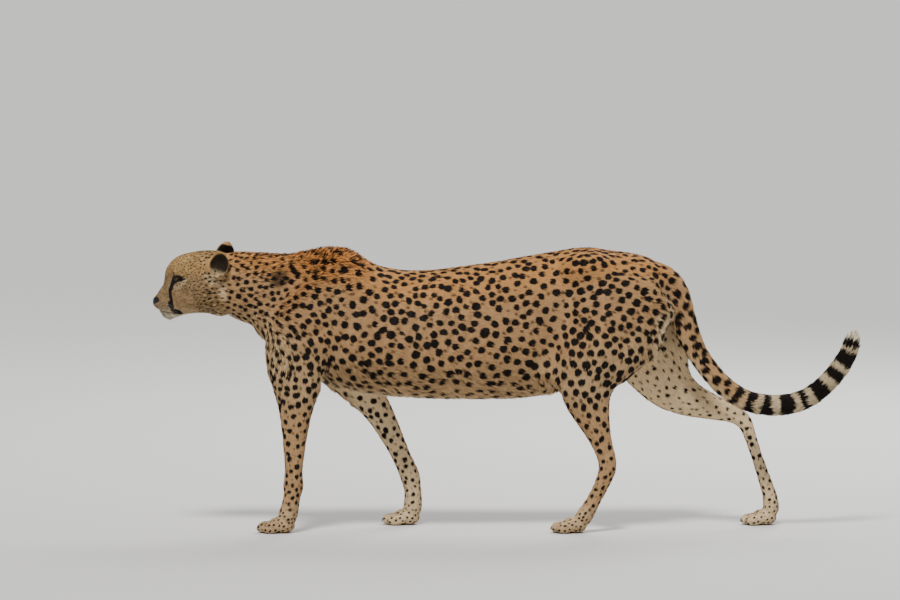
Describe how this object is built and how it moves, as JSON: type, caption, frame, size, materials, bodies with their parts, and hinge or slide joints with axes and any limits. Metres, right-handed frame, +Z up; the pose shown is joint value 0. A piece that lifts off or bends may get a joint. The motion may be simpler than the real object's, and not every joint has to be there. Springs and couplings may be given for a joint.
{
  "type": "cheetah",
  "caption": "Life-size still model of an adult cheetah in a stalking walk, head low and level with the back, tail curved up behind, standing on flat soles.",
  "frame": {"origin": "on the floor under the middle of the bounding box, nose to tail tip and side to side", "axes": "+Z up; -X the way the head points; -Y the animal's left side, +Y its right side"},
  "size_m": [1.7718, 0.2554, 0.7167],
  "materials": {
    "coat": "short spotted fur, golden orange above and white below, with solid black spots",
    "ear": "short fur, dark outside with a pale rim, near black inside",
    "eye": "wet gloss, amber iris with a round black pupil",
    "claw": "dark worn horn"
  },
  "bodies": {
    "root": {"head": "coat", "neck": "coat", "trunk": "coat", "tail_1": "coat", "tail_2": "coat", "tail_3": "coat", "tail_4": "coat", "ear_left": "ear", "ear_right": "ear", "eye_left": "eye", "eye_right": "eye", "foreleg_left_upper": "coat", "foreleg_left_lower": "coat", "foreleg_left_paw": "coat", "foreleg_left_claw_1": "claw", "foreleg_left_claw_2": "claw", "foreleg_left_claw_3": "claw", "foreleg_left_claw_4": "claw", "foreleg_right_upper": "coat", "foreleg_right_lower": "coat", "foreleg_right_paw": "coat", "foreleg_right_claw_1": "claw", "foreleg_right_claw_2": "claw", "foreleg_right_claw_3": "claw", "foreleg_right_claw_4": "claw", "hindleg_left_thigh": "coat", "hindleg_left_shank": "coat", "hindleg_left_foot": "coat", "hindleg_left_claw_1": "claw", "hindleg_left_claw_2": "claw", "hindleg_left_claw_3": "claw", "hindleg_left_claw_4": "claw", "hindleg_right_thigh": "coat", "hindleg_right_shank": "coat", "hindleg_right_foot": "coat", "hindleg_right_claw_1": "claw", "hindleg_right_claw_2": "claw", "hindleg_right_claw_3": "claw", "hindleg_right_claw_4": "claw"}
  },
  "joints": []
}
